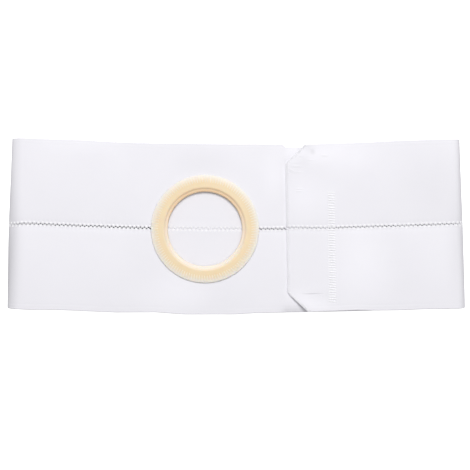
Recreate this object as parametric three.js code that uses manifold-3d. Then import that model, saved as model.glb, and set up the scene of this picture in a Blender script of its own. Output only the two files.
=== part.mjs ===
// Ostomy support belt, closed by hook and loop and lying flat. Two strips of elastic webbing are joined edge
// to edge, a moulded ring is sewn into the front panel, and the right end laps over the left one as a tab.
// Millimetres: +X along the belt towards its right fold, +Y across it, +Z up from the surface that it lies on.
import * as THREE from "three";
import { mergeVertices } from "three/addons/utils/BufferGeometryUtils.js";
import Module from "manifold-3d";

const wasm = await Module();
wasm.setup();

// Webbing
const webbingWidth = 75.7; // one strip
const webbingThickness = 1.6;
const seamGap = 0.3; // between the two strips' edges, where the zigzag seam runs
const layerGap = 0.3; // between pieces that lie on each other

// The flattened loop
const beltLength = 407; // from fold to fold along the seam
const bowSag = 4.75; // how far the middle lies below the ends
const edgeTaper = 0.0107; // share by which the lower edge is longer than the seam, and the upper edge shorter
const waistGap = 6; // clear height between the back and the front panel
const leftFoldRise = 12.8; // the fold's top above the front panel
const leftFoldDepth = 12.5; // along the belt
const leftSlopeLength = 96; // where the front panel comes down from the fold
const rightFoldRise = 12;
const rightFoldDepth = 9;
const rightSlopeLength = 84;

// The closure
const tabEnd = 46.3; // the tab's end, right of the belt's middle
const tabOverlap = 76; // how far the left end of the webbing runs on under the tab
const cornerAlong = 18; // the cut-off corners
const cornerAcross = 17;
const hookLength = 38.1; // the hook strip, along the belt
const hookInset = 2.5; // from the tab's end
const hookMargin = 15.5; // from the belt's upper and lower edges
const hookThickness = 1.4;

// The ring
const ringAlong = -27.6; // its centre, left of the belt's middle
const boreRadius = 33.5;
const collarWall = 2.2;
const collarClearance = 0.3; // round the collar, in the webbing's hole
const ledgeWidth = 2.4;
const ledgeHeight = 1;
const stepWidth = 2.2; // the slope from the ledge up to the crest
const crestHeight = 2.4;
const flangeRadius = 48.6;
const rimHeight = 1.1;
const rimRound = 1.2;
const ringSegments = 72;

// The tab's edge is lifted where each cut-off corner ends; reach is how far along the cloth the lift fades out
const cornerLifts = [
  { side: 1, height: 0.6, reach: 26 },
  { side: -1, height: 1.8, reach: 30 },
];
const acrossSteps = 6; // rows of faces across one strip

const halfLength = beltLength / 2;
const halfWidth = webbingWidth + seamGap / 2;
const backCentre = webbingThickness / 2;
const frontUnder = webbingThickness + waistGap;
const frontTop = frontUnder + webbingThickness;
const frontCentre = frontUnder + webbingThickness / 2;
const hookUnder = frontTop + layerGap;
const tabUnder = hookUnder + hookThickness + layerGap;
const tabCentre = tabUnder + webbingThickness / 2;
const collarRadius = boreRadius + collarWall;
const flangeUnder = frontTop + layerGap;

const webbingWhite = new THREE.MeshStandardMaterial({ color: 0xf1f0f5, roughness: 0.92, metalness: 0 });
const ringCream = new THREE.MeshStandardMaterial({ color: 0xf4e0be, roughness: 0.45, metalness: 0 });
const hookWhite = new THREE.MeshStandardMaterial({ color: 0xeceef0, roughness: 1, metalness: 0 });

// Where a point of the straight pattern lies on the bowed and tapered belt, seen from above.
function lay(along, across) {
  const share = along / halfLength;
  const x = along * (1 - (edgeTaper * across) / halfWidth);
  const y = across + bowSag * (share * share - 0.5);
  return new THREE.Vector2(x, y);
}

// How far a point of the tab is lifted: most where a cut-off corner ends, and nothing past the reach.
function liftAt(along, across) {
  let lift = 0;
  for (const { side, height, reach } of cornerLifts) {
    const away = Math.hypot(along - tabEnd - cornerAlong, across - side * halfWidth) / reach;
    lift += height * (1 - THREE.MathUtils.smoothstep(away, 0, 1));
  }
  return lift;
}

// Moves every vertex of a straight piece to its place on the belt, and lifts those that belong to the tab.
function layOut(geometry) {
  const position = geometry.getAttribute("position");
  for (let i = 0; i < position.count; i += 1) {
    const along = position.getX(i);
    const across = position.getY(i);
    const height = position.getZ(i);
    const onTab = height > tabUnder - layerGap / 2;
    const place = lay(along, across);
    position.setXYZ(i, place.x, place.y, height + (onTab ? liftAt(along, across) : 0));
  }
  return geometry;
}

// A closed solid from a geometry, and back.
function solidOf(geometry) {
  const bare = geometry.clone();
  bare.deleteAttribute("normal");
  bare.deleteAttribute("uv");
  const merged = mergeVertices(bare);
  const vertProperties = merged.getAttribute("position").array;
  const triVerts = new Uint32Array(merged.index.array);
  return new wasm.Manifold(new wasm.Mesh({ numProp: 3, vertProperties, triVerts }));
}

function geometryOf(solid) {
  const { vertProperties, triVerts } = solid.getMesh();
  const geometry = new THREE.BufferGeometry();
  geometry.setAttribute("position", new THREE.BufferAttribute(vertProperties, 3));
  geometry.setIndex(new THREE.BufferAttribute(triVerts, 1));
  geometry.computeVertexNormals();
  return geometry;
}

function namedMesh(name, geometry, material) {
  const mesh = new THREE.Mesh(geometry, material);
  mesh.name = name;
  return mesh;
}

// The middle of the webbing in the side view (x, z), from its hidden end under the tab to the tab's own end.
const route = [
  { kind: "level", toX: -halfLength + leftFoldDepth + leftSlopeLength, steps: 16 },
  { kind: "slope", toX: -halfLength + leftFoldDepth, toZ: frontCentre + leftFoldRise, steps: 10 },
  { kind: "fold", toZ: backCentre, bulge: -(leftFoldDepth - webbingThickness / 2), steps: 12 },
  { kind: "level", toX: halfLength - rightFoldDepth, steps: 20 },
  { kind: "fold", toZ: frontCentre + rightFoldRise, bulge: rightFoldDepth - webbingThickness / 2, steps: 12 },
  { kind: "slope", toX: halfLength - rightFoldDepth - rightSlopeLength, toZ: tabCentre, steps: 10 },
  { kind: "level", toX: tabEnd, steps: 8 },
];

// One stretch: level runs straight, slope eases from one height to the next, fold is half an ellipse.
function stretchPoint(start, { kind, toX = start.x, toZ = start.y, bulge = 0 }, share) {
  const round = (1 - Math.cos(Math.PI * share)) / 2;
  const eased = kind === "fold" ? round : THREE.MathUtils.smoothstep(share, 0, 1);
  const x = THREE.MathUtils.lerp(start.x, toX, share) + bulge * Math.sin(Math.PI * share);
  const z = THREE.MathUtils.lerp(start.y, toZ, eased);
  return new THREE.Vector2(x, z);
}

function webbingMiddle() {
  const points = [new THREE.Vector2(tabEnd + tabOverlap, frontCentre)];
  for (const stretch of route) {
    const start = points.at(-1);
    for (let step = 1; step <= stretch.steps; step += 1) {
      points.push(stretchPoint(start, stretch, step / stretch.steps));
    }
  }
  return points;
}

// The webbing's outline in the side view: its middle moved by half a thickness to either side.
function webbingOutline() {
  const middle = webbingMiddle();
  const side = (sign) =>
    middle.map((point, i) => {
      const before = middle[Math.max(i - 1, 0)];
      const after = middle[Math.min(i + 1, middle.length - 1)];
      const tangent = after.clone().sub(before).normalize();
      const normal = new THREE.Vector2(-tangent.y, tangent.x);
      return point.clone().addScaledVector(normal, (sign * webbingThickness) / 2);
    });
  return new THREE.Shape([...side(1), ...side(-1).reverse()]);
}

// A strip of webbing whose lower edge runs at the given distance across the belt.
function webbingStrip(lowerEdge) {
  const settings = { depth: webbingWidth, steps: acrossSteps, bevelEnabled: false };
  const geometry = new THREE.ExtrudeGeometry(webbingOutline(), settings);
  geometry.rotateX(Math.PI / 2);
  geometry.translate(0, lowerEdge + webbingWidth, 0);
  return solidOf(layOut(geometry));
}

// The round hole in the front panel that the ring's collar passes through.
function ringHoleCutter() {
  const radius = collarRadius + collarClearance;
  const reach = webbingThickness + waistGap / 2;
  const centre = lay(ringAlong, 0);
  const geometry = new THREE.CylinderGeometry(radius, radius, 2 * reach, ringSegments);
  geometry.rotateX(Math.PI / 2);
  geometry.translate(centre.x, centre.y, frontTop);
  return solidOf(geometry);
}

// The triangle that is cut off one of the tab's corners, with a margin beyond the webbing's edges.
function cornerCutter(side) {
  const margin = cornerAcross;
  const outside = margin * (cornerAlong / cornerAcross);
  const corners = [
    lay(tabEnd - outside, side * (halfWidth - cornerAcross - margin)),
    lay(tabEnd + cornerAlong + outside, side * (halfWidth + margin)),
    lay(tabEnd - outside, side * (halfWidth + margin)),
  ];
  const depth = rightFoldRise + leftFoldRise;
  const geometry = new THREE.ExtrudeGeometry(new THREE.Shape(corners), { depth, bevelEnabled: false });
  geometry.translate(0, 0, tabUnder - layerGap / 2);
  return solidOf(geometry);
}

// Half the ring's section (distance from its axis, height over its seat on the cloth), closed on itself.
function ringProfile() {
  const ledgeEnd = boreRadius + ledgeWidth;
  const crestStart = ledgeEnd + stepWidth;
  const collarDepth = layerGap + webbingThickness;
  const section = [
    [boreRadius, -collarDepth],
    [collarRadius, -collarDepth],
    [collarRadius, 0],
    [flangeRadius, 0],
    [flangeRadius, rimHeight - rimRound / 2],
    [flangeRadius - rimRound / 3, rimHeight],
    [flangeRadius - rimRound, rimHeight + rimRound / 4],
    [crestStart + rimRound, crestHeight],
    [crestStart, crestHeight - rimRound / 6],
    [ledgeEnd, ledgeHeight],
    [boreRadius + rimRound / 3, ledgeHeight],
    [boreRadius, ledgeHeight - rimRound / 3],
    [boreRadius, -collarDepth],
  ];
  return section.map(([radius, height]) => new THREE.Vector2(radius, height));
}

function beltRing() {
  const geometry = new THREE.LatheGeometry(ringProfile(), ringSegments);
  geometry.rotateX(Math.PI / 2);
  const mesh = namedMesh("belt_ring", geometryOf(solidOf(geometry)), ringCream);
  const centre = lay(ringAlong, 0);
  mesh.position.set(centre.x, centre.y, flangeUnder);
  return mesh;
}

function hookPad() {
  const reach = 2 * (halfWidth - hookMargin);
  const geometry = new THREE.BoxGeometry(hookLength, reach, hookThickness, 4, 4, 1);
  geometry.translate(tabEnd + hookInset + hookLength / 2, 0, hookUnder + hookThickness / 2);
  return namedMesh("hook_pad", layOut(geometry), hookWhite);
}

function upperBand() {
  const strip = webbingStrip(seamGap / 2).subtract(ringHoleCutter()).subtract(cornerCutter(1));
  return namedMesh("upper_band", geometryOf(strip), webbingWhite);
}

function lowerBand() {
  const strip = webbingStrip(-halfWidth).subtract(ringHoleCutter()).subtract(cornerCutter(-1));
  return namedMesh("lower_band", geometryOf(strip), webbingWhite);
}

const belt = new THREE.Group();
belt.add(upperBand(), lowerBand(), beltRing(), hookPad());

export default belt;
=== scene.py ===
from functools import partial
import bpy
import numpy as np
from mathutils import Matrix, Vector


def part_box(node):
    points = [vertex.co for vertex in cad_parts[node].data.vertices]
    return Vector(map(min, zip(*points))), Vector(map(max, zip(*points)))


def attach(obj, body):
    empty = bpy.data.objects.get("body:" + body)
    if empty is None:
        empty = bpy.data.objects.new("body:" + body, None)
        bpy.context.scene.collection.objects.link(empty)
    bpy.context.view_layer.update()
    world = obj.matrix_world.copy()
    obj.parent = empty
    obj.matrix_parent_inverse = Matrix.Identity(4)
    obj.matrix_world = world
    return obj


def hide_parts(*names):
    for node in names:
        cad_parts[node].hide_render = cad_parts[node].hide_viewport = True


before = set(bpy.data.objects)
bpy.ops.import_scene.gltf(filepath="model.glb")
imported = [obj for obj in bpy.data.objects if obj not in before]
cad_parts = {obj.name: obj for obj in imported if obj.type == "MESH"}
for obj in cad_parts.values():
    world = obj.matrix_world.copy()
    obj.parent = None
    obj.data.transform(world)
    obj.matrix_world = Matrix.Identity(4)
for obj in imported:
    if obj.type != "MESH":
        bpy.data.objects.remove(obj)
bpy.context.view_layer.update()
print("frame loaded")

mm = 0.001
boxOf = {name: [np.array(corner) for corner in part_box(name)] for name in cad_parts}
ringLow, ringHigh = boxOf["belt_ring"]
hookLow, hookHigh = boxOf["hook_pad"]


def inMillimetres(values):
    # The values, which are given in millimetres, in metres.
    return {name: np.multiply(value, mm) for name, value in values.items()}


# How the cloth lies. What isn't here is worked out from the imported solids.
belt = inMillimetres({
    "thickness": 1.6,
    "layerGap": 0.3,  # between pieces that lie on each other
    "bowSag": 4.75,  # how far the middle lies below the ends, seen from above
    "leftFoldDepth": 12.5,
    "leftSlope": 96,
    "rightFoldDepth": 9,
    "rightFoldDrop": 0.8,  # the right fold is this much lower than the left one
    "rightSlope": 84,
    "tabEnd": 46.3,
    "overlap": 76,  # the hidden end under the tab
    "cutAlong": 18,  # the tab's cut-off corners
    "cutAcross": 17,
}) | {
    "edgeTaper": 0.0107,  # share by which the lower edge is longer than the seam
}

halfThick = belt["thickness"] / 2
halfLength = boxOf["lower_band"][1][0] / (1 + belt["edgeTaper"])
halfWidth = boxOf["upper_band"][1][1] - belt["bowSag"] / 2
frontUnder = ringLow[2]  # the ring's collar ends flush with the cloth's inner face
frontTop = frontUnder + belt["thickness"]
tabUnder = hookHigh[2] + belt["layerGap"]
foldTop = boxOf["upper_band"][1][2]
ringCentre = (ringLow + ringHigh)[:2] / 2
ringRadius = (ringHigh - ringLow)[0] / 2


def easeBetween(low, high, value):
    # q * q * (3 - 2q), where q is how far value has come from low to high.
    q = np.clip((value - low) / (high - low), 0, 1)
    return q * q * (3 - 2 * q)


def blend(first, last, share):
    # first + (last - first) * share.
    return first + (last - first) * share


def bell(value, width):
    # exp(-(value / width) squared).
    return np.exp(-((value / width) ** 2))


def rounded(value):
    # A quarter circle, sqrt(1 - (1 - q) squared), where q is the value between 0 and 1.
    return np.sqrt(1 - (1 - np.clip(value, 0, 1)) ** 2)


def grid(*parts):
    # Points whose coordinates are the parts, spread to one shape.
    return np.stack(np.broadcast_arrays(*parts), axis=-1)


def table(names, *rows):
    # A dictionary for each row of values, under the names.
    return [dict(zip(names.split(), row)) for row in rows]


# The route of the cloth's middle in the side view

def sideRoute():
    # From the hidden end under the tab, along the front, round the left fold, along the back, round the
    # right fold and on to the tab's end. Level stretches are straight, slopes ease from height to
    # height, folds are half ellipses.
    q = np.linspace(0, 1, 600)
    ease, turn = q * q * (3 - 2 * q), (1 - np.cos(np.pi * q)) / 2
    leftFold, rightFold = -halfLength + belt["leftFoldDepth"], halfLength - belt["rightFoldDepth"]
    front, back, tab = frontUnder + halfThick, halfThick, tabUnder + halfThick
    leftTop, rightTop = foldTop - halfThick, foldTop - halfThick - belt["rightFoldDrop"]
    leftSlopeEnd, rightSlopeEnd = leftFold + belt["leftSlope"], rightFold - belt["rightSlope"]
    stretches = [
        (belt["tabEnd"] + belt["overlap"], leftSlopeEnd, front, front, ease, 0),
        (leftSlopeEnd, leftFold, front, leftTop, ease, 0),
        (leftFold, leftFold, leftTop, back, turn, halfThick - belt["leftFoldDepth"]),
        (leftFold, rightFold, back, back, ease, 0),
        (rightFold, rightFold, back, rightTop, turn, belt["rightFoldDepth"] - halfThick),
        (rightFold, rightSlopeEnd, rightTop, tab, ease, 0),
        (rightSlopeEnd, belt["tabEnd"], tab, tab, ease, 0),
    ]
    lines, marks, length = [], [], 0.0
    for fromX, toX, fromZ, toZ, rise, bulge in stretches:
        line = np.stack([blend(fromX, toX, q) + bulge * np.sin(np.pi * q), blend(fromZ, toZ, rise)], axis=1)
        length += np.linalg.norm(np.diff(line, axis=0), axis=1).sum()
        lines.append(line[:-1])
        marks.append(length)
    middle = np.concatenate(lines + [line[-1:]])
    run = np.r_[0, np.cumsum(np.linalg.norm(np.diff(middle, axis=0), axis=1))]
    tangent = np.gradient(middle, run, axis=0)
    tangent /= np.linalg.norm(tangent, axis=1, keepdims=True)
    outward = np.stack([tangent[:, 1], -tangent[:, 0]], axis=1)
    return run, middle, outward, marks


routeRun, routeMiddle, routeOutward, routeMarks = sideRoute()
routeLength = routeRun[-1]
frontEnds, leftTopAt, backStarts, backEnds, rightTopAt, tabFlatAt, tabEndAt = routeMarks
coverAt = belt["overlap"]  # where the front panel comes out from under the tab
ringAt = belt["tabEnd"] + belt["overlap"] - ringCentre[0]


def routeAt(run, values, k):
    # The middle's or the outward direction's x or z at a length along the route.
    return np.interp(run, routeRun, values[:, k])


# The zigzag seam. Its values on the left part, the back and the tab are told apart by name.
seam = inMillimetres({
    "leftPeriod": 3.7,
    "rightPeriod": 3.92,
    "leftGap": 0.8,  # between the strips' edges
    "ringGap": 0.24,  # how much wider the gap grows just left of the ring
    "ringGapEase": (58, 95),  # from the ring's middle
    "backGap": 0.04,
    "tabGap": 0.6,
    "leftSwing": 0.76,  # how far the thread pulls the edges to and fro
    "tabSwing": 0.66,
    "reach": 2.7,  # from the seam to the needle holes
    "thread": 0.3,  # the thread's radius outside, and inside the loop
    "threadInside": 0.2,
    "dip": 0.4,  # how far a thread sags into the gap, and how wide the sag is
    "dipWide": 0.8,
    "clearOfRing": 0.8,  # where the thread stops short of the ring's flange, the tab and the tab's end
    "clearOfTab": 1.5,
    "clearOfEnd": 1,
})
quarters = 4  # stations for each period of the zigzag
endSteps = np.array([0.08, 0.25, 0.5, 0.8, 1.2, 1.7, 2.3, 3.0, 3.6]) * mm  # more stations at either end


def seamStations():
    # Stations a quarter period apart, where the period eases from the left part's to the tab's
    # across the back.
    fine = np.linspace(0, routeLength, 2000)
    period = blend(seam["leftPeriod"], seam["rightPeriod"], easeBetween(backStarts, backEnds, fine))
    phase = np.r_[0, np.cumsum(np.diff(fine) / period[1:])]
    count = int(phase[-1] * quarters)
    phase *= count / quarters / phase[-1]
    even = np.arange(count + 1) / quarters
    run = np.interp(even, phase, fine)
    extra = np.r_[endSteps, routeLength - endSteps]
    order = np.argsort(np.r_[run, extra])
    return np.r_[run, extra][order], np.r_[even, np.interp(extra, run, even)][order]


stations, stationPhase = seamStations()


def tabShare(run):
    # 1 on the right slope and the tab, 0 before the back's right end.
    return easeBetween(backEnds, rightTopAt, run)


def frontShare(run):
    # 1 on the front panel and the left slope, 0 from the start of the back.
    return 1 - easeBetween(leftTopAt, backStarts, run)


def seamEdgeAt(run, side):
    # Half the gap, plus or minus a triangle wave of the seam's phase: 0, 1, 0, -1 at the
    # quarters of each period.
    phase = np.interp(run, stations, stationPhase)
    left, tab = frontShare(run), tabShare(run)
    nearRing = (1 - easeBetween(*seam["ringGapEase"], run - ringAt)) * (run > ringAt)
    gap = (seam["leftGap"] + seam["ringGap"] * nearRing) * left
    gap = gap + seam["tabGap"] * tab + seam["backGap"] * (1 - left) * (1 - tab)
    swing = blend(seam["leftSwing"], seam["tabSwing"], tab)
    return gap / 2 + side * swing * (2 / np.pi) * np.arcsin(np.sin(2 * np.pi * phase))


# How the cloth departs from its plain route: arches, dips, puckers and the pressed end of the tab
lie = inMillimetres({
    "leftArch": 1.2,  # how far a strip's edges lie below its middle
    "rightArch": 1.4,
    "seamDip": 0.12,
    "seamDipWide": 3.2,
    "pucker": 0.28,  # round each needle hole
    "puckerWide": 1.1,
    "wave": 0.22,
    "ringFlat": (-3, 30),  # from the flange's edge, where they begin round the ring
    "coverEase": 12,  # to either side of the tab's end, where the covered end begins
    "underNarrowTop": 2.6,  # how far the covered end's edges are drawn in
    "underNarrowTopEase": 3.5,
    "underNarrowBottom": 0.1,
    "underNarrowBottomEase": 1.5,
    "underRoll": 3.4,  # how far the covered end's upper edge hangs down, and over what width
    "underRollWide": 19,
    "underRollLow": 2.2,  # and its lower edge
    "underRollLowWide": 8,
    "backNarrow": 3.2,  # how far the back's upper edge is drawn in behind the tab's corner
    "backNarrowEase": (24, 60),
    "backNarrowLow": 1.6,  # and its lower edge, between the folds
    "backNarrowLowEase": 50,
    "backDome": 4.6,  # how far the back swells up into the ring
    "backDomeEase": (34, 98),  # from the radius of its highest part to where it ends
    "backDomeEdge": 34,  # it fades over this width beside the belt's edges
    "tabLooseEase": (15, 75),  # from the tab's end, where its arch and waves grow
    "tabRest": 0.04,  # between the tab's end and the cloth that it rests on
    "tabRestEase": (1, 42),
    "hookRecess": 1.3,  # how far the hook strip presses the cloth down
    "hookRecessEase": (0.8, 4.5),  # from the tab's end
    "tabPress": 0.9,  # how far the tab's end does
    "tabPressEase": (-3.4, 0.1),
    "recessEnds": (48, 62),  # from the tab's end
    "tabHeld": 4,  # how far above the lower corner the tab's end begins to come free
    "tabSkew": 1.1,  # how much further the tab's end reaches at its upper edge than at its lower one
    "tabSkewEase": 40,
    "leftFoldOut": -0.62,  # how far the folds stand out, and how much further in places
    "leftFoldBulge": 1.1,
    "leftFoldMiddle": -5,
    "leftFoldWide": 50,
    "rightFoldOut": 0.15,
    "rightFoldBulge": 0.7,
    "rightFoldEase": (-70, 20),
    "hookEdge": 0.35,  # step over the hook strip's lower edge
    "hookEdgeEase": (-4.2, -2.6),
    "hookEdgeSide": (-8, -2),  # where it ends at the strip's inner side
    "hookEdgeLow": (66, 74),  # and below
}) | {
    "level": (0.25, 0.95),  # how upright the cloth stands where waves and arches fade
    "coverFlat": 0.8,  # share of its arch that the covered end loses
    "tabLoose": 0.2,  # share of arch and waves that the tab's end keeps
    "foldUpright": 0.9,  # and where the folds begin to stand out
}
# Long shallow waves: millimetres from crest to crest along and across, their phase, and their
# share of lie["wave"].
waves = table(
    "along across phase share",
    (128, 210, 0.4, 1.0),
    (83, -150, 2.1, 0.7),
    (57, 95, 4.4, 0.45),
    (-41, 68, 1.2, 0.25),
)
# The tab's edge is lifted where each cut-off corner ends.
lifts = table(
    "side high reach",
    (1, 0.6 * mm, 26 * mm),
    (-1, 1.8 * mm, 30 * mm),
)
# The cloth isn't cut and sewn quite true: by how many millimetres its upper edge, seam and lower edge lie
# above the even outline, at places along the front panel and along the tab's side.
frontTrim = table(
    "along top seam bottom",
    (-200, 1.0, -0.9, 0.1),
    (-189, 1.1, 0.7, 0.0),
    (-178, 1.1, 1.0, 0.0),
    (-162, 1.4, 0.8, 0.6),
    (-140, 1.95, 0.65, 0.1),
    (-124, 1.6, 0.65, -0.5),
    (-107, 1.5, 0.45, -0.9),
    (-90, 1.35, 0.25, -0.45),
    (-72, 1.25, 0.05, 0.0),
    (-45, 1.3, 0.0, -1.6),
    (-18, 1.1, 0.0, -1.35),
    (0, 1.05, 0.0, -1.4),
    (18, 1.05, 0.0, -0.2),
    (40, 0.35, 0.0, 0.05),
)
tabTrim = table(
    "along top seam bottom",
    (54, 0.8, 1.0, 0.8),
    (67, 0.6, 0.45, 0.9),
    (80, 0.45, 0.2, 1.1),
    (92, 0.4, 0.25, 1.2),
    (108, 0.4, 0.35, 1.5),
    (126, 0.6, 0.5, 0.75),
    (145, 0.9, 0.3, 0.6),
    (163, 0.6, 0.3, 0.95),
    (181, 0.2, 0.3, 0.8),
    (200, -0.2, 0.1, 0.25),
)


def trimAt(trim, along, across):
    # The trim's upper, seam and lower value at a place along, blended by the distance across.
    places, *lines = ([row[name] * mm for row in trim] for name in ("along", "top", "seam", "bottom"))
    top, middle, bottom = (np.interp(along, places, line) for line in lines)
    share = across / halfWidth
    return middle + np.where(share > 0, (top - middle) * share, (middle - bottom) * share)


def cutAt(across):
    # How much shorter the tab is at a distance across: nothing as far as the cut-off corner,
    # then in proportion.
    fromCorner = (np.abs(across) - (halfWidth - belt["cutAcross"])) / belt["cutAcross"]
    return belt["cutAlong"] * np.clip(fromCorner, 0, 1.2)


def skewAt(across):
    # How much further the tab's end reaches at a distance across: nothing at its lower edge,
    # and eased to the upper.
    return lie["tabSkew"] * easeBetween(-halfWidth, halfWidth, across)


def rippleAt(along, across):
    # The sum of the shallow sine waves.
    total = 0
    for wave in waves:
        turns = along / (wave["along"] * mm) + across / (wave["across"] * mm)
        total = total + wave["share"] * np.sin(2 * np.pi * turns + wave["phase"])
    return total


def stripPlace(across):
    # From -1 at the seam to 1 at the belt's edge.
    return (np.abs(across) - halfWidth / 2) / (halfWidth / 2)


def frontShift(along, across):
    # Minus an arch of q squared and shallow waves, flat round the ring, and the covered end's edges rolled
    # down, where q goes from -1 to 1 across a strip.
    q = stripPlace(across)
    fromRing = np.hypot(along - ringCentre[0], across)
    clear = easeBetween(*(ringRadius + place for place in lie["ringFlat"]), fromRing)
    covered = easeBetween(belt["tabEnd"] - lie["coverEase"], belt["tabEnd"] + lie["coverEase"], along)
    shift = -lie["leftArch"] * q**2 * clear * (1 - lie["coverFlat"] * covered)
    shift = shift + lie["wave"] * (rippleAt(along, across) - 1) * clear * (1 - covered)
    nearTop = easeBetween(halfWidth - lie["underRollWide"], halfWidth, across)
    shift = shift - lie["underRoll"] * nearTop * covered
    nearLow = np.clip((-across - halfWidth) / lie["underRollLowWide"] + 1, 0, 1)
    return shift - lie["underRollLow"] * nearLow**2 * easeBetween(0, 0.5, covered)


def heldAt(across):
    # How closely the tab's end is held down: fully, and not at all where its lower corner ends.
    return 1 - easeBetween(halfWidth - belt["cutAcross"] - lie["tabHeld"], halfWidth, -across)


def recessAt(along, across, shares=("tabPress", "hookRecess")):
    # How far the cloth under the tab is pressed down: by the tab's end, from just outside it,
    # and by the hook strip.
    inside = along - belt["tabEnd"] - cutAt(across) + skewAt(across)
    covered = 1 - easeBetween(*lie["recessEnds"], inside)
    pressed = {
        "tabPress": easeBetween(*lie["tabPressEase"], inside) * heldAt(across),
        "hookRecess": easeBetween(*lie["hookRecessEase"], inside),
    }
    return sum(lie[share] * pressed[share] for share in shares) * covered


def tabShift(run, along, across):
    # An arch of 1 - q squared and shallow waves that fade towards the tab's end, which comes down to the
    # cloth below it, except at the lower cut-off corner, where the edge is lifted.
    q = stripPlace(across)
    fromEnd = tabEndAt - cutAt(across) - run
    loose = blend(lie["tabLoose"], 1, easeBetween(*lie["tabLooseEase"], fromEnd))
    shift = (lie["rightArch"] * (1 - q**2) + lie["wave"] * (rippleAt(along, across) + 1)) * loose
    overHook = 1 - easeBetween(*lie["hookEdgeSide"], along - hookHigh[0])
    belowHook = easeBetween(*lie["hookEdgeEase"], hookLow[1] - across)
    belowHook = belowHook * (1 - easeBetween(*lie["hookEdgeLow"], -across))
    shift = shift - lie["hookEdge"] * overHook * belowHook
    below = frontShift(along, across) - recessAt(along, across, ("tabPress",))
    resting = frontTop + lie["tabRest"] + below - tabUnder
    share = (1 - easeBetween(*lie["tabRestEase"], fromEnd)) * heldAt(across)
    shift = shift + (resting - shift) * share
    for lift in lifts:
        away = np.hypot(along - belt["tabEnd"] - belt["cutAlong"], across - lift["side"] * halfWidth)
        shift = shift + lift["high"] * (1 - easeBetween(0, lift["reach"], away)) * (1 - share)
    return shift


def shiftAt(run, along, across, upright):
    # How far the cloth lies outward of its plain route. Arches and waves fade where the cloth stands
    # upright in the folds, which stand out by a bell and by an ease. Another bell dips along the seam,
    # needle holes pucker it by half of 1 plus or minus a sine, and the back swells into the ring.
    left, tab = frontShare(run), tabShare(run)
    level = easeBetween(*lie["level"], upright)
    shift = (frontShift(along, across) - recessAt(along, across)) * left * level
    shift = shift + tabShift(run, along, across) * tab * level
    leftBulge = bell(across - lie["leftFoldMiddle"], lie["leftFoldWide"])
    leftOut = lie["leftFoldOut"] + lie["leftFoldBulge"] * leftBulge
    rightOut = lie["rightFoldOut"] + lie["rightFoldBulge"] * easeBetween(*lie["rightFoldEase"], -across)
    standing = 1 - easeBetween(0, lie["foldUpright"], upright)
    shift = shift + np.where(along < 0, leftOut, rightOut) * standing
    dome = 1 - easeBetween(*lie["backDomeEase"], np.hypot(along - ringCentre[0], across))
    dome = dome * (1 - easeBetween(halfWidth - lie["backDomeEdge"], halfWidth, np.abs(across)))
    shift = shift - lie["backDome"] * dome * (1 - left) * (1 - tab)
    phase = np.interp(run, stations, stationPhase)
    sides = 0.5 - 0.5 * np.sign(across) * np.sin(2 * np.pi * phase)
    puckered = lie["pucker"] * bell(np.abs(across) - seam["reach"], lie["puckerWide"]) * sides
    return shift - level * (lie["seamDip"] * bell(across, lie["seamDipWide"]) + puckered)


def clothPoint(run, across, offset):
    # The point on the cloth at a length along its route and a distance across it, moved outward by offset
    # and by shiftAt: x = along * (1 - taper * across / half width), y = across + sag * ((along / half
    # length) squared - 1/2) plus the trim.
    run, across, offset = np.broadcast_arrays(run, across, offset)
    along = routeAt(run, routeMiddle, 0)
    fromEnd = tabEndAt - cutAt(across) - run
    along = along - skewAt(across) * (1 - easeBetween(0, lie["tabSkewEase"], fromEnd))
    height, outX, outZ = routeAt(run, routeMiddle, 1), *(routeAt(run, routeOutward, k) for k in (0, 1))
    moved = offset + shiftAt(run, along, across, np.abs(outZ))
    along, height = along + outX * moved, height + outZ * moved
    x = along * (1 - belt["edgeTaper"] * across / halfWidth)
    y = across + belt["bowSag"] * ((along / halfLength) ** 2 - 0.5)
    y = y + frontShare(run) * trimAt(frontTrim, along, across)
    y = y + tabShare(run) * trimAt(tabTrim, along, across)
    return np.stack([x, y, height], axis=-1)


def clothOutward(run):
    # The route's outward direction, which has no part across the belt.
    return grid(routeAt(run, routeOutward, 0), 0.0, routeAt(run, routeOutward, 1))


# Mesh helpers

def sceneObject(name, data):
    made = bpy.data.objects.new(name, data)
    bpy.context.scene.collection.objects.link(made)
    return made


def makePiece(name, points, faces, material, uv=None):
    # Puts points and faces into a mesh, turned inside out if its signed volume is below zero.
    points = np.asarray(points).reshape(-1, 3)
    volume = 0.0
    for rows in faces:
        for k in range(1, rows.shape[1] - 1):
            a, b, c = points[rows[:, 0]], points[rows[:, k]], points[rows[:, k + 1]]
            volume += (a * np.cross(b, c)).sum()
    if volume < 0:
        faces = [rows[:, ::-1] for rows in faces]
    mesh = bpy.data.meshes.new(name)
    mesh.from_pydata(points.tolist(), [], [face for rows in faces for face in rows.tolist()])
    mesh.polygons.foreach_set("use_smooth", np.ones(len(mesh.polygons), bool))
    if uv is not None:
        corners = np.zeros(len(mesh.loops), np.int32)
        mesh.loops.foreach_get("vertex_index", corners)
        layer = mesh.uv_layers.new(name="cloth")
        layer.data.foreach_set("uv", np.asarray(uv, np.float32).reshape(-1, 2)[corners].ravel())
    mesh.materials.append(material)
    mesh.update()
    return sceneObject(name, mesh)


def wrappedQuads(rows, columns):
    # Quads between neighbouring points of a grid whose columns close on themselves.
    r, c = np.meshgrid(np.arange(rows - 1), np.arange(columns), indexing="ij")
    nextC = (c + 1) % columns
    near, far = r * columns, (r + 1) * columns
    return np.stack([near + c, near + nextC, far + nextC, far + c], axis=-1).reshape(-1, 4)


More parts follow.
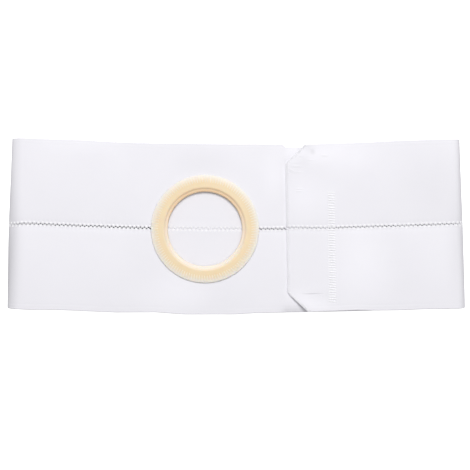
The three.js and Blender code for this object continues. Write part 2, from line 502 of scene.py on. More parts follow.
def strandPiece(name, lines, outward, radius, material, sides=6):
    # Round threads: each line of points carries a circle, radius * (cos f * outward + sin f * sideways),
    # and ends in a point a little beyond its last circle.
    count, steps = lines.shape[:2]
    tangent = np.gradient(lines, axis=1)
    tangent /= np.linalg.norm(tangent, axis=2, keepdims=True)
    sideways = np.cross(tangent, outward)
    sideways /= np.linalg.norm(sideways, axis=2, keepdims=True)
    up = np.cross(sideways, tangent)
    turn = 2 * np.pi * np.arange(sides) / sides
    ring = np.cos(turn)[:, None] * up[:, :, None] + np.sin(turn)[:, None] * sideways[:, :, None]
    tube = (lines[:, :, None] + radius * ring).reshape(count, steps * sides, 3)
    tips = np.stack([lines[:, 0] - radius * tangent[:, 0], lines[:, -1] + radius * tangent[:, -1]], axis=1)
    points = np.concatenate([tube, tips], axis=1)
    each = steps * sides + 2
    start = (np.arange(count) * each)[:, None, None]
    quads = (wrappedQuads(steps, sides)[None] + start).reshape(-1, 4)
    near, far = np.arange(sides), (steps - 1) * sides + np.arange(sides)
    firstFan = np.stack([np.roll(near, -1), near, np.full(sides, steps * sides)], axis=1)
    lastFan = np.stack([far, np.roll(far, -1), np.full(sides, steps * sides + 1)], axis=1)
    fans = (np.concatenate([firstFan, lastFan])[None] + start).reshape(-1, 3)
    return makePiece(name, points, [quads, fans], material)


# The stitches along the hook strip's edge
hookStitch = inMillimetres({
    "along": 86.4,
    "halfWidth": 3.6,
    "pitch": 2.24,
    "slant": 0.3,
    "top": 31.5,
    "bottom": -69,
    "thread": 0.3,
    "dent": 0.15,  # between two stitches
})
# Creases near the tab's corner, and broad patches of painted light and painted shade where the cloth is a
# little
# paler or darker: where they lie along and across the belt, how long and wide they are (all in mm), how
# they turn from the belt's length in degrees, and how far a crease rises in mm, or what share of its tone a
# patch gains.
creases = table(
    "along across long wide turn rise",
    (55.5, 57.6, 12, 1.8, 2, -0.1),
    (56.5, 55.8, 13, 1.8, 1, 0.18),
    (56.0, 53.9, 14, 1.7, -3, -0.1),
    (51.8, 52.0, 10, 2.0, -27, 0.2),
    (58.5, 49.9, 10, 1.8, 0, 0.2),
    (51.5, 49.6, 11, 1.8, -24, -0.1),
    (69.0, 61.4, 11, 2.0, 1, 0.3),
    (60.5, 63.8, 9, 1.8, 0, -0.16),
    (80.5, 65.6, 9, 1.8, -3, 0.24),
    (80.5, 63.6, 11, 1.8, -3, -0.18),
    (58.5, 35.2, 10, 1.7, 0, 0.24),
    (58.5, 33.0, 11, 1.7, 0, 0.2),
    (68.2, -59.8, 27, 1.8, 0, -0.32),
)
# painted light and painted shade on the tab
tabPaintedShading = table(
    "along across long wide gain",
    (178, 40, 100, 110, -0.045),
    (201, -20, 36, 150, -0.07),
    (71, 68.5, 7, 9, -0.09),
    (68, 72, 16, 16, -0.06),
    (62, 61, 22, 18, -0.045),
    (112, -38, 80, 120, 0.045),
    (96, 66, 90, 46, 0.04),
    (64, 28, 62, 56, 0.045),
)
# painted light and painted shade on the front panel, darkest at the left fold
frontPaintedShading = table(
    "along across long wide gain",
    (-30, 60, 76, 44, -0.035),
    (-204, -30, 34, 190, -0.17),
    (-55, -58, 100, 56, 0.045),
    (35, 48, 34, 66, 0.035),
    (54, 70, 26, 22, 0.04),
    (-140, 72, 110, 26, 0.025),
)


# The ring
ring = inMillimetres({
    "bore": 33.5,
    "collar": 35.7,
    "ledgeEnd": 35.9,
    "crest": 37.2,
    "ledgeHeight": 0.9,
    "lipWide": 0.9,  # the ledge's rounding into the bore
    "lipDrop": 0.2,
    "boreDrop": 1.1,
    "crestHeight": 2.35,
    "shoulder": 44.8,
    "shoulderHeight": 2.15,
    "rimHeight": 1.4,
    "stitchFrom": 41.6,
    "stitchTo": 49.2,
    "thread": 0.23,
    "sink": 0.5,  # at its inner end
    "pressed": 0.16,  # how far the flange is pressed down between two stitches
    "pressedEase": 0.6,
    "fillets": (0.4, 0.3, 0.1, 0.3, 0.6, 1.8, 0.9, 0.5, 0.5, 0.9),  # of the section's corners
}) | {
    "stitches": 116,
    "stepsPerStitch": 4,
    "askew": 0.35,  # of the angle between two stitches
    "proud": 0.4,  # how far a thread's middle lies over the flange, in thread radii
}


# Materials

def newMaterial(name):
    material = bpy.data.materials.new(name)
    material.use_nodes = True
    return material, material.node_tree


def fillInputs(tree, node, inputs):
    # Each input is linked to an output or given a value. A colour gets its fourth number here.
    for name, value in inputs.items():
        socket = node.inputs[name]
        if isinstance(value, bpy.types.NodeSocket):
            tree.links.new(value, socket)
        else:
            socket.default_value = (*value, 1) if socket.type == "RGBA" else value


def fillSurface(material, inputs):
    fillInputs(material.node_tree, material.node_tree.nodes["Principled BSDF"], inputs)
    return material


def addNode(tree, kind, inputs=None, **settings):
    # A new node's outputs.
    node = tree.nodes.new("ShaderNode" + kind)
    for name, value in settings.items():
        setattr(node, name, value)
    fillInputs(tree, node, inputs or {})
    return node.outputs


def mathNode(tree, operation, *values):
    return addNode(tree, "Math", dict(enumerate(values)), operation=operation)[0]


def vectorNode(tree, operation, *values):
    return addNode(tree, "VectorMath", dict(enumerate(values)), operation=operation)


def humpNode(tree, value):
    # |sin(pi * value)|.
    return mathNode(tree, "ABSOLUTE", mathNode(tree, "SINE", mathNode(tree, "MULTIPLY", value, np.pi)))


def noiseNode(tree, scale, detail):
    place = addNode(tree, "TexCoord")["Object"]
    return addNode(tree, "TexNoise", {"Scale": scale, "Detail": detail, "Vector": place})["Fac"]


def rangeNode(tree, value, low, high, first=0.0, last=1.0):
    inputs = {"Value": value, "From Min": low, "From Max": high, "To Min": first, "To Max": last}
    return addNode(tree, "MapRange", inputs, interpolation_type="SMOOTHSTEP")["Result"]


def colourBetween(tree, factor, low, high):
    return addNode(tree, "Mix", {"Factor": factor, "A": low, "B": high}, data_type="RGBA")["Result"]


def bumpNode(tree, height, depth, strength, **under):
    inputs = {"Strength": strength, "Distance": depth, "Height": height, **under}
    return addNode(tree, "Bump", inputs)["Normal"]


webbingLook = {
    "high": (0.86, 0.85, 0.895),
    "low": (0.805, 0.795, 0.84),
    "wale": 0.74 * mm,  # from rib to rib across the strip
    "course": 0.6 * mm,  # from row to row along it
    "rowShare": 0.45,  # share of a rib's height that its rows take
    "ribPower": 0.6,
    "ribPaintedShade": 0.65,  # how much of the height goes into the tone: painted shade between the ribs
    "relief": 0.09 * mm,
    "fibre": (5200, 0.3),  # noise: scale, and share in the relief
    "cloud": (38, 0.35),  # and in the tone
    "roughness": 0.88,
    "specular": 0.25,
    "sheen": 0.12,
    "creasePaintedLight": 200,  # painted light on a crease's ridge and painted shade in its dip: share of its tone that the cloth gains for each metre that a crease rises
}


def spotSum(tree, place, spots, value, unit, onTab=True):
    # Each spot is an ellipse in the cloth's own coordinates, where the value eases from nothing at its edge
    # to the whole in its middle. The spots are added up.
    total = 0.0
    for spot in spots:
        inward = spot["along"] * mm - belt["tabEnd"]
        turn = -np.radians(spot.get("turn", 0)) * (1 if onTab else -1)
        ellipse = {
            "Vector": place,
            "Location": ((tabEndAt if onTab else coverAt) - inward, spot["across"] * mm, 0),
            "Rotation": (0, 0, turn),
            "Scale": (spot["long"] / 2 * mm, spot["wide"] / 2 * mm, 1),
        }
        inside = addNode(tree, "Mapping", ellipse, vector_type="TEXTURE")["Vector"]
        away = vectorNode(tree, "LENGTH", inside)["Value"]
        total = mathNode(tree, "ADD", total, rangeNode(tree, away, 1.0, 0.0, 0.0, spot[value] * unit))
    return total


def ladderHeight(tree, run, across):
    # The cloth between the hook strip's stitches: minus the dent times 1 + the cosine of the distance
    # across, within the stitches' length.
    math, within = partial(mathNode, tree), partial(rangeNode, tree)
    wide, top, bottom = (hookStitch[name] for name in ("halfWidth", "top", "bottom"))
    away = math("ABSOLUTE", math("SUBTRACT", run, tabEndAt - (hookStitch["along"] - belt["tabEnd"])))
    shares = [
        within(away, wide, wide - 1.2 * mm),
        within(across, top + 1 * mm, top - 2 * mm),
        within(across, bottom - 1 * mm, bottom + 2 * mm),
    ]
    turns = math("SUBTRACT", across, top + hookStitch["pitch"] / 2)
    turns = math("MULTIPLY", turns, 2 * np.pi / hookStitch["pitch"])
    wave = math("MULTIPLY", math("ADD", math("COSINE", turns), 1.0), -hookStitch["dent"] / 2)
    for share in shares:
        wave = math("MULTIPLY", wave, share)
    return wave


def webbingMaterial():
    # Elastic webbing: ribs along the strip, |sin| of the distance across, each crossed by short rows, |sin|
    # of the distance along, that are set off by half a row from rib to rib, over fine fibre noise.
    material, tree = newMaterial("webbing")
    math = partial(mathNode, tree)
    place = addNode(tree, "UVMap", uv_map="cloth")["UV"]
    split = addNode(tree, "SeparateXYZ", {0: place})
    across = math("DIVIDE", split["Y"], webbingLook["wale"])
    along = math("DIVIDE", split["X"], webbingLook["course"])
    parity = math("MODULO", math("FLOOR", across), 2.0)
    row = humpNode(tree, math("ADD", along, math("MULTIPLY", parity, 0.5)))
    row = math("ADD", math("MULTIPLY", row, webbingLook["rowShare"]), 1 - webbingLook["rowShare"])
    stitchHeight = math("MULTIPLY", math("POWER", humpNode(tree, across), webbingLook["ribPower"]), row)
    (fibreScale, fibreShare), (cloudScale, cloudShare) = webbingLook["fibre"], webbingLook["cloud"]
    weave = math("ADD", stitchHeight, math("MULTIPLY", noiseNode(tree, fibreScale, 3), fibreShare))
    cloud = math("MULTIPLY", noiseNode(tree, cloudScale, 2), cloudShare)
    # painted shade between the ribs from the rib height, plus a random cloudy tone
    ribShadeAndCloud = math("ADD", math("MULTIPLY", stitchHeight, webbingLook["ribPaintedShade"]), cloud)
    spots = partial(spotSum, tree, place)
    crease = spots(creases, "rise", mm)
    # painted light and painted shade: the patches, and the creases' ridges made paler and their dips darker
    gain = math("ADD", spots(tabPaintedShading, "gain", 1), spots(frontPaintedShading, "gain", 1, False))
    gain = math("ADD", gain, math("MULTIPLY", crease, webbingLook["creasePaintedLight"]))
    colour = colourBetween(tree, ribShadeAndCloud, webbingLook["low"], webbingLook["high"])
    shade = addNode(tree, "HueSaturation", {"Color": colour, "Value": math("ADD", gain, 1.0)})
    under = bumpNode(tree, math("ADD", crease, ladderHeight(tree, split["X"], split["Y"])), 1.0, 1.0)
    return fillSurface(material, {
        "Base Color": shade["Color"],
        "Normal": bumpNode(tree, weave, webbingLook["relief"], 0.7, Normal=under),
        "Roughness": webbingLook["roughness"],
        "Specular IOR Level": webbingLook["specular"],
        "Sheen Weight": webbingLook["sheen"],
        "Sheen Roughness": 0.5,
    })


# The threads and the hook strip's woven nylon, each with its two tones and its noise
plainLooks = table(
    "name low high scale detail relief strength roughness",
    ("whiteThread", (0.93, 0.93, 0.94), (0.98, 0.98, 0.98), 4200, 2, 0.06 * mm, 0.6, 0.5),
    ("creamThread", (0.89, 0.83, 0.72), (0.94, 0.90, 0.81), 4200, 2, 0.06 * mm, 0.6, 0.5),
    ("hookTape", (0.74, 0.75, 0.78), (0.84, 0.85, 0.88), 2600, 3, 0.12 * mm, 0.7, 0.6),
)


def plainMaterial(look):
    # Fine noise, for a thread's plies or for crossing rows, mixes the two tones and makes the relief.
    material, tree = newMaterial(look["name"])
    noise = noiseNode(tree, look["scale"], look["detail"])
    return fillSurface(material, {
        "Base Color": colourBetween(tree, noise, look["low"], look["high"]),
        "Normal": bumpNode(tree, noise, look["relief"], look["strength"]),
        "Roughness": look["roughness"],
    })


ringLook = {
    "band": (0.865, 0.722, 0.50),
    "deep": (0.828, 0.658, 0.42),
    "rim": (0.87, 0.835, 0.785),
    "cloud": 45,  # noise scale of the two tones' mixture, and of the grain
    "grain": 1900,
    "relief": 0.03 * mm,
    "rimFrom": 41.5 * mm,  # where the rim's paler tone begins, and where it is full
    "rimFull": 49.5 * mm,
    "lipPaintedHighlight": (0.875, 0.80, 0.70),  # painted highlight on the lip at the lower side of the bore, which faces the light, and painted shade at its upper side
    "lipPaintedShade": (0.86, 0.64, 0.42),
    "paintedLipFrom": 38.8 * mm,  # where the lip's painted light and shade begin, and where they are full
    "paintedLipFull": 35.2 * mm,
    "roughness": 0.48,
    "specular": 0.3,
    "glow": 0.25,  # how much light sinks in, how deep, and how much further the red and the green
    "glowDepth": 1.2 * mm,
    "glowSpread": (1.0, 0.7, 0.4),
}


def ringMaterial():
    # Cream flexible plastic: two close tones mixed by broad noise, by the distance from the
    # ring's axis a paler tone towards the rim and towards the bore a painted highlight on the lip's
    # lower side and painted shade on its upper side, a fine moulded grain, and light that sinks in.
    material, tree = newMaterial("creamPlastic")
    cloud, grain = noiseNode(tree, ringLook["cloud"], 3), noiseNode(tree, ringLook["grain"], 2)
    cream = colourBetween(tree, cloud, ringLook["deep"], ringLook["band"])
    place = addNode(tree, "TexCoord")["Object"]
    centred = vectorNode(tree, "SUBTRACT", place, (*ringCentre, 0))["Vector"]
    flat = vectorNode(tree, "MULTIPLY", centred, (1, 1, 0))["Vector"]
    radius = vectorNode(tree, "LENGTH", flat)["Value"]
    rimShare = rangeNode(tree, radius, ringLook["rimFrom"], ringLook["rimFull"])
    paled = colourBetween(tree, rimShare, cream, ringLook["rim"])
    # painted highlight on the lip's lower side, which faces the light, and painted shade on its upper side
    paintedShadeShare = rangeNode(tree, addNode(tree, "SeparateXYZ", {0: centred})["Y"], -ring["bore"], ring["bore"])
    paintedLip = colourBetween(tree, paintedShadeShare, ringLook["lipPaintedHighlight"], ringLook["lipPaintedShade"])
    paintedLipShare = rangeNode(tree, radius, ringLook["paintedLipFrom"], ringLook["paintedLipFull"])
    return fillSurface(material, {
        "Base Color": colourBetween(tree, paintedLipShare, paled, paintedLip),
        "Normal": bumpNode(tree, grain, ringLook["relief"], 0.35),
        "Roughness": ringLook["roughness"],
        "Specular IOR Level": ringLook["specular"],
        "Subsurface Weight": ringLook["glow"],
        "Subsurface Scale": ringLook["glowDepth"],
        "Subsurface Radius": ringLook["glowSpread"],
    })


webbing = webbingMaterial()
whiteThread, creamThread, hookTape = (plainMaterial(look) for look in plainLooks)
creamPlastic = ringMaterial()
print("materials made")

# The two strips of webbing
strip = inMillimetres({
    "rimRadius": 0.8,
    "seamRim": 0.25,  # the same along the seam
    "backSeamRim": 1.2,  # and where the seam crosses the back
    "grooveDepth": 0.08,
    "grooveWide": 0.45,
    "grooves": (1.9, 4.9),  # from the outer edge
    "endSlope": 7,  # how far from its ends the cloth begins to thin
    "cornerThinEase": (-6, 3),
    "endRound": 0.4,
    "holeClearance": 0.3,
}) | {
    "endLeast": 0.5,  # share of the thickness that is left there
    "cornerThin": 0.2,  # and how much less at the tab's upper cut-off corner
    "endTip": 0.15,  # share of the thinned thickness at the very end
}
# Distances from the seam edge in mm, close together at both edges where the cloth is rounded and grooved.
stripRows = mm * np.array([
    0, 0.12, 0.35, 0.8, 1.5, 2.4, 3.3, 4.5, 6.5, 10, 15, 21, 28, 35, 42, 48, 53, 57, 60.5, 63.5, 66, 68,
    69.6, 70.3, 70.8, 71.3, 72, 73, 73.4, 73.8, 74.2, 74.6, 75, 75.35, 75.58, 75.7,
])
holeRadius = ring["collar"] + strip["holeClearance"]


def holeEdge(run):
    # The half height of the hole round the ring's collar at a place along the front panel: sqrt(radius
    # squared - distance squared).
    return np.sqrt(np.clip(holeRadius**2 - (run - ringAt) ** 2, 0, None)) * (run < frontEnds)


def outerEdgeAt(run, side):
    # Half the belt's width, drawn in at the covered end and on the back, most behind the tab's
    # upper corner.
    edge = "underNarrowTop" if side > 0 else "underNarrowBottom"
    narrow = lie[edge] * (1 - easeBetween(0, lie[edge + "Ease"], run - coverAt))
    if side > 0:
        behind = backEnds - halfLength + belt["rightFoldDepth"] + belt["tabEnd"] + belt["cutAlong"] / 2
        hidden = 1 - easeBetween(*lie["backNarrowEase"], np.abs(run - behind))
        return halfWidth - narrow - lie["backNarrow"] * hidden
    ease = lie["backNarrowLowEase"]
    onBack = easeBetween(backStarts, backStarts + ease, run)
    onBack = onBack * (1 - easeBetween(backEnds - ease, backEnds, run))
    return halfWidth - narrow - lie["backNarrowLow"] * onBack


def webbingStrip(name, side):
    # A flat tube carried along the route: its outer and inner face lie half a thickness from the middle,
    # times sqrt(1 - (1 - e / rim) squared) within a rim of either edge, so the faces meet in a round edge.
    # The outer face eases down towards the inner one at both ends, and is rounded there in the same way.
    share = stripRows / stripRows[-1]
    run = stations[:, None]
    outerEdge = outerEdgeAt(run, side)
    seamEdge, hole = seamEdgeAt(run, side), holeEdge(run)
    seamEdge = np.where(hole > 0, np.maximum(seamEdge, hole), seamEdge)
    fromSeam = blend(seamEdge, outerEdge, share)
    across = side * fromSeam
    run = run - cutAt(across) * np.clip((run - tabFlatAt) / (tabEndAt - tabFlatAt), 0, 1)
    seamRim = blend(strip["seamRim"], strip["backSeamRim"], (1 - frontShare(run)) * (1 - tabShare(run)))
    fromEdge = np.minimum((fromSeam - seamEdge) / seamRim, (outerEdge - fromSeam) / strip["rimRadius"])
    rim = rounded(fromEdge)
    groove = sum(bell(outerEdge - fromSeam - place, strip["grooveWide"]) for place in strip["grooves"])
    fromEnd = np.minimum(run, tabEndAt - cutAt(across) - run)
    inCorner = easeBetween(*strip["cornerThinEase"], across - halfWidth + belt["cutAcross"])
    least = strip["endLeast"] - strip["cornerThin"] * inCorner
    full = blend(least, 1, easeBetween(-0.3, 1, fromEnd / strip["endSlope"]))
    full = full * blend(strip["endTip"], 1, rounded(fromEnd / strip["endRound"]))
    outer = (2 * full - 1) * halfThick * rim - strip["grooveDepth"] * groove * full
    inner = -halfThick * rim
    outerPoints = clothPoint(run, across, outer)
    innerPoints = clothPoint(run, across, inner)[:, -2:0:-1]
    columns = 2 * len(share) - 2
    points = np.concatenate([outerPoints, innerPoints], axis=1)
    place = grid(run, across)
    uv = np.concatenate([place, place[:, -2:0:-1]], axis=1)
    quads = wrappedQuads(len(stations), columns)
    top = np.arange(len(share))
    under = (-top) % columns
    cap = np.stack([top[1:-2], top[2:-1], under[2:-1], under[1:-2]], axis=1)
    tips = np.array([[top[0], top[1], under[1]], [top[-1], under[-2], top[-2]]])
    last = (len(stations) - 1) * columns
    faces = [quads, cap, tips, cap[:, ::-1] + last, tips[:, ::-1] + last]
    return makePiece(name, points, faces, webbing, uv)


upperWebbing = webbingStrip("upperWebbing", 1)
lowerWebbing = webbingStrip("lowerWebbing", -1)
print("webbing laid out")


# Stitches

threadLie = {"over": 0.25, "sink": 2.2}  # over the cloth in the middle, and into it at both ends, in radii


def clothStitches(name, fromRun, toRun, fromAcross, toAcross, face, steps, radius):
    # Threads from needle hole to needle hole over the cloth's face: straight in length and width,
    # lying on the cloth, sinking by |2q - 1| to the sixth towards both ends, and sagging by a
    # bell into the seam's gap.
    q = np.linspace(0, 1, steps)
    run = blend(fromRun[:, None], toRun[:, None], q)
    across = blend(fromAcross[:, None], toAcross[:, None], q)
    sink = threadLie["sink"] * radius * np.abs(2 * q - 1) ** 6
    height = halfThick + threadLie["over"] * radius - sink
    height = height - seam["dip"] * bell(across, seam["dipWide"])
    lines = clothPoint(run, across, face * height)
    return strandPiece(name, lines, face * clothOutward(run), radius, whiteThread)


def seamStitches(name, face, radius):
    # One thread for each half period of the seam, from the needle hole on one side to that on the other.
    holes = np.arange(0.25, stationPhase[-1], 0.5)
    run = np.interp(holes, stationPhase, stations)
    across = seam["reach"] * np.where(np.arange(len(holes)) % 2 == 0, -1, 1)
    along = routeAt(run, routeMiddle, 0)
    besideRing = (run > frontEnds) | (np.abs(along - ringCentre[0]) > ringRadius + seam["clearOfRing"])
    free = besideRing & (run > coverAt + seam["clearOfTab"]) & (run < tabEndAt - seam["clearOfEnd"])
    kept = free[:-1] & free[1:]
    ends = run[:-1][kept], run[1:][kept], across[:-1][kept], across[1:][kept]
    return clothStitches(name, *ends, face, 8, radius)


def hookColumn():
    # A ladder of stitches down the tab over the hook strip's edge, a pitch apart and slightly slanted.
    across = np.arange(hookStitch["top"], hookStitch["bottom"], -hookStitch["pitch"])
    run = tabEndAt - (hookStitch["along"] - belt["tabEnd"]) + 0 * across
    fromRun, toRun = run - hookStitch["halfWidth"], run + hookStitch["halfWidth"]
    ends = fromRun, toRun, across - hookStitch["slant"], across + hookStitch["slant"]
    return clothStitches("hookColumnStitches", *ends, 1, 10, hookStitch["thread"])


edgeStitch = inMillimetres({
    "inset": 0.5,
    "depth": 2.7,
    "pitch": 1.1,
    "thread": 0.12,
})


def tabOutline(inset):
    # The tab's end as a line at the given distance inside it: cut corner, straight end, cut corner.
    slant = np.hypot(belt["cutAlong"], belt["cutAcross"])
    cutEdge = halfWidth - belt["cutAcross"]
    bend = inset * (slant - belt["cutAlong"]) / belt["cutAcross"]
    tip = inset * slant / belt["cutAcross"]
    return np.array([
        [-belt["cutAlong"] - tip + 1.0 * mm, halfWidth - 1.0 * mm],
        [-inset, cutEdge - bend],
        [-inset, -cutEdge + bend],
        [-belt["cutAlong"] - tip + 1.0 * mm, -halfWidth + 1.0 * mm],
    ])


def edgeStitches():
    # A narrow zigzag that follows the tab's end, between two lines that run beside its outline.
    outer, inner = tabOutline(edgeStitch["inset"]), tabOutline(edgeStitch["depth"])
    lengths = np.r_[0, np.cumsum(np.linalg.norm(np.diff(outer, axis=0), axis=1))]
    at = np.arange(0, lengths[-1], edgeStitch["pitch"]) / lengths[-1]
    even = np.arange(len(at)) % 2 == 0
    places = lengths / lengths[-1]
    outerLine, innerLine = ([np.interp(at, places, line[:, k]) for k in (0, 1)] for line in (outer, inner))
    run = tabEndAt + np.where(even, outerLine[0], innerLine[0])
    across = np.where(even, outerLine[1], innerLine[1])
    ends = run[:-1], run[1:], across[:-1], across[1:]
    return clothStitches("tabEdgeStitches", *ends, 1, 6, edgeStitch["thread"])


stitchPieces = [
    seamStitches("seamStitchesOutside", 1, seam["thread"]),
    seamStitches("seamStitchesInside", -1, seam["threadInside"]),
    hookColumn(),
    edgeStitches(),
]
print("stitches sewn")

# The ring
ringSeat = frontTop + belt["layerGap"]  # the flange's underside


def filleted(corners, radii, count=6):
    # Each corner of a closed outline becomes a curve, (1-q)^2 a + 2q(1-q) corner + q^2 b, where a and b lie
    # a fillet's length from the corner towards its neighbours.
    corners, radii = np.array(corners, float), np.array(radii, float)[:, None]
    towards = [np.roll(corners, shift, axis=0) - corners for shift in (1, -1)]
    lengths = [np.linalg.norm(way, axis=1, keepdims=True) for way in towards]
    steps = (way / length * np.minimum(radii, 0.48 * length) for way, length in zip(towards, lengths))
    a, b = (corners + step for step in steps)
    q = np.linspace(0, 1, count)[None, :, None]
    curve = (1 - q) ** 2 * a[:, None] + 2 * q * (1 - q) * corners[:, None] + q**2 * b[:, None]
    return curve.reshape(-1, 2)


def ringTopHeight(radius):
    # Height of the flange's upper face over its seat: straight from the crest to the shoulder
    # and on to the rim.
    places = (ring["crest"], ring["shoulder"], ringRadius)
    return np.interp(radius, places, (ring["crestHeight"], ring["shoulderHeight"], ring["rimHeight"]))


def beltRing():
    # A filleted section turned about the bore's axis, pressed down a little between the radial stitches.
    depth = ringSeat - frontUnder
    corners = [
        (ring["bore"], -depth), (ring["collar"], -depth), (ring["collar"], 0), (ringRadius, 0),
        (ringRadius, ring["rimHeight"]), (ring["shoulder"], ring["shoulderHeight"]),
        (ring["crest"], ring["crestHeight"]), (ring["ledgeEnd"], ring["ledgeHeight"]),
        (ring["bore"] + ring["lipWide"], ring["ledgeHeight"] - ring["lipDrop"]),
        (ring["bore"], ring["ledgeHeight"] - ring["boreDrop"]),
    ]
    section = filleted(corners, ring["fillets"])
    count = ring["stitches"] * ring["stepsPerStitch"]
    angle = 2 * np.pi * np.arange(count) / count
    radius, height = section[:, 0][None, :], section[:, 1][None, :]
    sewn = easeBetween(-ring["pressedEase"], ring["pressedEase"], radius - ring["stitchFrom"])
    sewn = sewn * (height > ring["rimHeight"] / 2)
    pressed = ring["pressed"] * sewn * (0.5 + 0.5 * np.cos(ring["stitches"] * angle[:, None]))
    x = ringCentre[0] + radius * np.cos(angle)[:, None]
    y = ringCentre[1] + radius * np.sin(angle)[:, None]
    points = grid(x, y, ringSeat + height - pressed)
    columns = len(section)
    quads = wrappedQuads(count + 1, columns) % (count * columns)
    return makePiece("beltRing", points, [quads], creamPlastic)


def ringStitches():
    # Threads that cross the flange outwards, each a little askew. They follow its face, sink into it at
    # their inner end, and come down over the rim to the cloth at their outer end.
    q = np.linspace(0, 1, 12)[None, :]
    angle = (2 * np.pi * np.arange(ring["stitches"]) / ring["stitches"])[:, None]
    askew = ring["askew"] * 2 * np.pi / ring["stitches"]
    turned = angle + askew * (q - 0.5)
    radius = blend(ring["stitchFrom"], ring["stitchTo"], q) + 0 * turned
    over = ringSeat + ringTopHeight(radius) + ring["proud"] * ring["thread"]
    height = over + (frontTop - over) * easeBetween(ringRadius - 1 * mm, ring["stitchTo"], radius)
    height = height - ring["sink"] * (1 - q) ** 7
    x, y = ringCentre[0] + radius * np.cos(turned), ringCentre[1] + radius * np.sin(turned)
    return strandPiece("ringStitches", grid(x, y, height), (0, 0, 1), ring["thread"], creamThread)


beltRingPiece = beltRing()
stitchPieces.append(ringStitches())
print("ring turned and sewn")

# The hook strip under the tab
hook = inMillimetres({
    "tape": 0.4,
    "deep": 1.0,  # from the tape down to the hooks' bends
    "inset": 2.5,  # from the tab's end
    "margin": 2,  # without hooks, along the tape's edges
    "pitch": 1.6,
    "bend": 0.26,  # radius
    "clearance": 0.05,  # over the cloth below
    "thread": 0.1,
})
hookRuns = (tabEndAt - (hookHigh[0] - belt["tabEnd"]), tabEndAt - hook["inset"])
hookReach = (hookHigh - hookLow)[1] / 2


def hookTapePiece():
    # A sheet along the tab's inner face, closed by its own lower face one tape thickness below.
    runs, places = np.linspace(*hookRuns, 40), np.linspace(-hookReach, hookReach, 90)
    run, across = np.meshgrid(runs, places, indexing="ij")
    upper = clothPoint(run, across, -halfThick - 0.03 * mm)
    lower = clothPoint(run, across, -halfThick - hook["tape"])
    rows, columns = run.shape
    points = np.concatenate([upper, lower[:, ::-1]], axis=1)
    quads = wrappedQuads(rows, 2 * columns)
    top = np.arange(columns)
    cap = np.stack([top[:-1], top[1:], 2 * columns - 2 - top[:-1], 2 * columns - 1 - top[:-1]], axis=1)
    return makePiece("hookTape", points, [quads, cap, cap[:, ::-1] + (rows - 1) * 2 * columns], hookTape)


def hookField():
    # Small hooks below the tape: each goes down and turns back in a half circle, shorter where
    # the tab lies lower.
    run = np.arange(hookRuns[0] + hook["margin"], hookRuns[1] - hook["margin"], hook["pitch"])
    across = np.arange(-hookReach + hook["margin"], hookReach - hook["margin"], hook["pitch"])
    run, across = (part.ravel() for part in np.meshgrid(run, across, indexing="ij"))
    foot = clothPoint(run, across, -halfThick - 0.7 * hook["tape"])[:, None]
    along = belt["tabEnd"] + (tabEndAt - run)[:, None]
    below = frontTop + frontShift(along, across[:, None]) - recessAt(along, across[:, None])
    deep = np.minimum(hook["deep"], foot[..., 2] - below - hook["clearance"])
    turn = np.array([0, 0, 0.35, 0.7, 1.0]) * np.pi
    radius = hook["bend"]
    down = np.where(np.arange(5) == 0, 0, deep - radius + radius * np.sin(turn))
    places = foot[..., 0] + radius * (1 - np.cos(turn)), foot[..., 1], foot[..., 2] - down
    return strandPiece("hookField", grid(*places), (0, 1, 0), hook["thread"], hookTape, 3)


hookPieces = [hookTapePiece(), hookField()]
print("hook strip made")

# Floor, light and camera
studio = {
    "cameraHeight": 0.9,  # over the front panel
    "scale": 0.9019 * mm,  # of one pixel on the front panel
    "pixels": 470,
    "beltMiddle": (235.6, 229.0),  # the belt's middle on the seam, in the picture
    "floorColour": (0.95, 0.95, 0.955),
    "floorGlow": 0.8,
    "floorReach": 6.0,
    "floorDrop": 0.3 * mm,
    "skyLight": 0.48,  # from above, and back up from the floor
    "floorLight": 0.5,
    "keyPower": 46,
    "keySize": 1.1,
    "keyAzimuth": 80,
    "keyElevation": 62,
    "keyDistance": 2.6,
}


def makeCamera():
    # Straight above the belt: the picture's middle is offset from the belt's by pixels times the scale.
    data = bpy.data.cameras.new("camera")
    data.sensor_width = 36
    across = studio["scale"] * studio["pixels"]
    data.lens = data.sensor_width * studio["cameraHeight"] / across
    data.clip_start, data.clip_end = 0.01, 20
    camera = sceneObject("camera", data)
    centre = studio["pixels"] / 2
    x = (centre - studio["beltMiddle"][0]) * studio["scale"]
    y = (studio["beltMiddle"][1] - centre) * studio["scale"] - belt["bowSag"] / 2
    camera.location = (x, y, frontTop + studio["cameraHeight"])
    bpy.context.scene.camera = camera


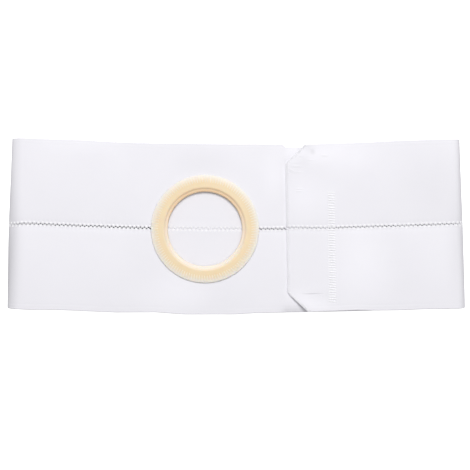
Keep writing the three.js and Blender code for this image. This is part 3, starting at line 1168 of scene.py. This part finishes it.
def makeKeyLight():
    # A square soft light that faces the belt's middle from its azimuth and elevation.
    data = bpy.data.lights.new("keyLight", "AREA")
    data.size, data.energy = studio["keySize"], studio["keyPower"]
    light = sceneObject("keyLight", data)
    a, e = np.radians(studio["keyAzimuth"]), np.radians(studio["keyElevation"])
    away = Vector((np.cos(a) * np.cos(e), np.sin(a) * np.cos(e), np.sin(e))) * studio["keyDistance"]
    light.location = away
    light.rotation_mode = "QUATERNION"
    light.rotation_quaternion = away.to_track_quat("Z", "Y")


def makeSurroundings():
    # White all round: the lower half stands for the light that a real floor would throw back.
    world = bpy.data.worlds.new("surroundings")
    world.use_nodes = True
    tree = world.node_tree
    height = addNode(tree, "SeparateXYZ", {0: addNode(tree, "TexCoord")["Generated"]})["Z"]
    low, high = studio["floorLight"], studio["skyLight"]
    inputs = {"Value": height, "From Min": -0.1, "From Max": 0.1, "To Min": low, "To Max": high}
    strength = addNode(tree, "MapRange", inputs)["Result"]
    fillInputs(tree, tree.nodes["Background"], {"Color": (1, 1, 1), "Strength": strength})
    bpy.context.scene.world = world


def makeFloor():
    # A plain pale sheet that gives a little light of its own, so that it stays white beside the belt.
    reach, drop = studio["floorReach"], studio["floorDrop"]
    mesh = bpy.data.meshes.new("floor")
    corners = [(x * reach, y * reach, -drop) for x, y in ((-1, -1), (1, -1), (1, 1), (-1, 1))]
    mesh.from_pydata(corners, [], [(0, 1, 2, 3)])
    mesh.materials.append(fillSurface(newMaterial("floor")[0], {
        "Base Color": studio["floorColour"],
        "Roughness": 0.9,
        "Specular IOR Level": 0.1,
        "Emission Color": (1, 1, 1),
        "Emission Strength": studio["floorGlow"],
    }))
    floor = sceneObject("floor", mesh)
    floor.visible_diffuse = floor.visible_glossy = floor.visible_shadow = False


makeCamera()
makeFloor()
makeKeyLight()
makeSurroundings()
bpy.context.scene.view_settings.view_transform = "Standard"
print("studio lit")

# What rides on what
for piece in [upperWebbing, lowerWebbing, beltRingPiece, *stitchPieces, *hookPieces]:
    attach(piece, "root")
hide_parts("upper_band")
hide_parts("lower_band")
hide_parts("belt_ring")
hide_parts("hook_pad")
